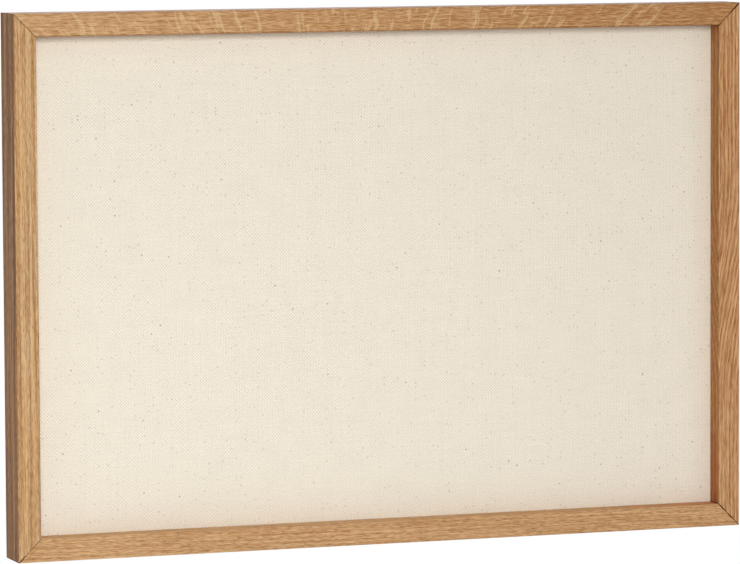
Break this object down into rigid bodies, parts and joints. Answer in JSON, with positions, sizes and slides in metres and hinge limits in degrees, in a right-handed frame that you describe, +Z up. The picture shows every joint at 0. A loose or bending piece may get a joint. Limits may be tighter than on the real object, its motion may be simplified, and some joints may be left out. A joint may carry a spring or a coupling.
{
  "type": "collage board",
  "caption": "Wall-hung pin board: a deep mitred oak frame round a recessed canvas-covered panel, with turn buttons and sawtooth hangers behind.",
  "frame": {"origin": "on the wall, at the point where the wall's nail carries the middle tooth of the hanger on the top rail", "axes": "+X to the right along the long rails as seen from the front, +Y from the board's front towards the wall, +Z up"},
  "size_m": [0.5, 0.0341, 0.35],
  "materials": {
    "oak": "clear matt oil, open pores",
    "canvas": "unbleached plain-weave cotton with seed specks",
    "fibreboard": "soft raw fibreboard",
    "hardboard": "smooth brown hardboard",
    "zinc_steel": "zinc plated",
    "brassed_steel": "brass plated",
    "pad_rubber": "matt"
  },
  "bodies": {
    "frame": {"top_rail": "oak", "bottom_rail": "oak", "left_rail": "oak", "right_rail": "oak", "canvas_cover": "canvas", "panel_core": "fibreboard", "back_board": "hardboard", "v_nail_bottom_right": "zinc_steel", "v_nail_top_right": "zinc_steel", "v_nail_top_left": "zinc_steel", "v_nail_bottom_left": "zinc_steel", "button_screw_top_left": "zinc_steel", "button_screw_top_right": "zinc_steel", "button_screw_bottom_left": "zinc_steel", "button_screw_bottom_right": "zinc_steel", "button_screw_left_upper": "zinc_steel", "button_screw_left_lower": "zinc_steel", "button_screw_right_upper": "zinc_steel", "button_screw_right_lower": "zinc_steel", "top_hanger": "brassed_steel", "left_hanger": "brassed_steel", "hanger_nail_top_left": "brassed_steel", "hanger_nail_top_right": "brassed_steel", "hanger_nail_left_upper": "brassed_steel", "hanger_nail_left_lower": "brassed_steel", "wall_pad_top_left": "pad_rubber", "wall_pad_top_right": "pad_rubber", "wall_pad_bottom_left": "pad_rubber", "wall_pad_bottom_right": "pad_rubber", "staple_top_1": "zinc_steel", "staple_top_2": "zinc_steel", "staple_top_3": "zinc_steel", "staple_top_4": "zinc_steel", "staple_top_5": "zinc_steel", "staple_top_6": "zinc_steel", "staple_bottom_1": "zinc_steel", "staple_bottom_2": "zinc_steel", "staple_bottom_3": "zinc_steel", "staple_bottom_4": "zinc_steel", "staple_bottom_5": "zinc_steel", "staple_bottom_6": "zinc_steel", "staple_left_1": "zinc_steel", "staple_left_2": "zinc_steel", "staple_left_3": "zinc_steel", "staple_left_4": "zinc_steel", "staple_right_1": "zinc_steel", "staple_right_2": "zinc_steel", "staple_right_3": "zinc_steel", "staple_right_4": "zinc_steel"},
    "button_top_left": {"turn_button_top_left": "zinc_steel"},
    "button_top_right": {"turn_button_top_right": "zinc_steel"},
    "button_bottom_left": {"turn_button_bottom_left": "zinc_steel"},
    "button_bottom_right": {"turn_button_bottom_right": "zinc_steel"},
    "button_left_upper": {"turn_button_left_upper": "zinc_steel"},
    "button_left_lower": {"turn_button_left_lower": "zinc_steel"},
    "button_right_upper": {"turn_button_right_upper": "zinc_steel"},
    "button_right_lower": {"turn_button_right_lower": "zinc_steel"}
  },
  "joints": [
    {"name": "turn_top_left", "type": "hinge", "parent": "frame", "child": "button_top_left", "pos_m": [-0.13, -0.0033, 0.0022], "axis": [0, 1, 0], "range_deg": [-90, 90]},
    {"name": "turn_top_right", "type": "hinge", "parent": "frame", "child": "button_top_right", "pos_m": [0.13, -0.0033, 0.0022], "axis": [0, 1, 0], "range_deg": [-90, 90]},
    {"name": "turn_bottom_left", "type": "hinge", "parent": "frame", "child": "button_bottom_left", "pos_m": [-0.13, -0.0033, -0.3378], "axis": [0, 1, 0], "range_deg": [-90, 90]},
    {"name": "turn_bottom_right", "type": "hinge", "parent": "frame", "child": "button_bottom_right", "pos_m": [0.13, -0.0033, -0.3378], "axis": [0, 1, 0], "range_deg": [-90, 90]},
    {"name": "turn_left_upper", "type": "hinge", "parent": "frame", "child": "button_left_upper", "pos_m": [-0.245, -0.0033, -0.0803], "axis": [0, 1, 0], "range_deg": [-90, 90]},
    {"name": "turn_left_lower", "type": "hinge", "parent": "frame", "child": "button_left_lower", "pos_m": [-0.245, -0.0033, -0.2553], "axis": [0, 1, 0], "range_deg": [-90, 90]},
    {"name": "turn_right_upper", "type": "hinge", "parent": "frame", "child": "button_right_upper", "pos_m": [0.245, -0.0033, -0.0803], "axis": [0, 1, 0], "range_deg": [-90, 90]},
    {"name": "turn_right_lower", "type": "hinge", "parent": "frame", "child": "button_right_lower", "pos_m": [0.245, -0.0033, -0.2553], "axis": [0, 1, 0], "range_deg": [-90, 90]}
  ]
}
